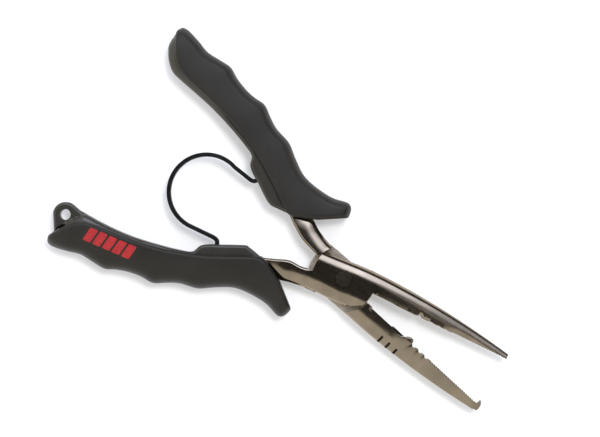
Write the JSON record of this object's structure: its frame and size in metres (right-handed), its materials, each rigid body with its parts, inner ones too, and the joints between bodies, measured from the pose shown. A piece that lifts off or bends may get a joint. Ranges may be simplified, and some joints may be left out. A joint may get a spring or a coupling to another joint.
{
  "type": "fishing pliers",
  "caption": "Long-nose fishing pliers with a lap joint, wire cutter, hooked jaw tip, loop return spring, finger-grooved soft grips and a lanyard lug.",
  "frame": {"origin": "on the pivot axis, at the rivet's lower flat face", "axes": "+X along the centre line between the jaws towards their tips, +Z along the pivot axis towards the upper lap, +Y towards the upper jaw"},
  "size_m": [0.2129, 0.1175, 0.0154],
  "materials": {
    "jaw_steel": "polished black nickel",
    "rivet_steel": "ground flush, black nickel",
    "spring_steel": "black coated",
    "handle_core": "satin moulded black",
    "soft_grip": "matte fine-textured overmould"
  },
  "bodies": {
    "upper_jaw_side": {"upper_jaw_half": "jaw_steel", "pivot_rivet": "rivet_steel", "return_spring": "spring_steel", "lower_handle_core": "handle_core", "lower_handle_grip": "soft_grip"},
    "lower_jaw_side": {"lower_jaw_half": "jaw_steel", "upper_handle_core": "handle_core", "upper_handle_grip": "soft_grip"}
  },
  "joints": [
    {"name": "jaw_pivot", "type": "hinge", "parent": "upper_jaw_side", "child": "lower_jaw_side", "pos_m": [0, 0, 0.005], "axis": [0, 0, 1], "range_deg": [-8, 16.5], "stiffness_Nm_per_rad": 2, "deforming": ["return_spring"]}
  ]
}
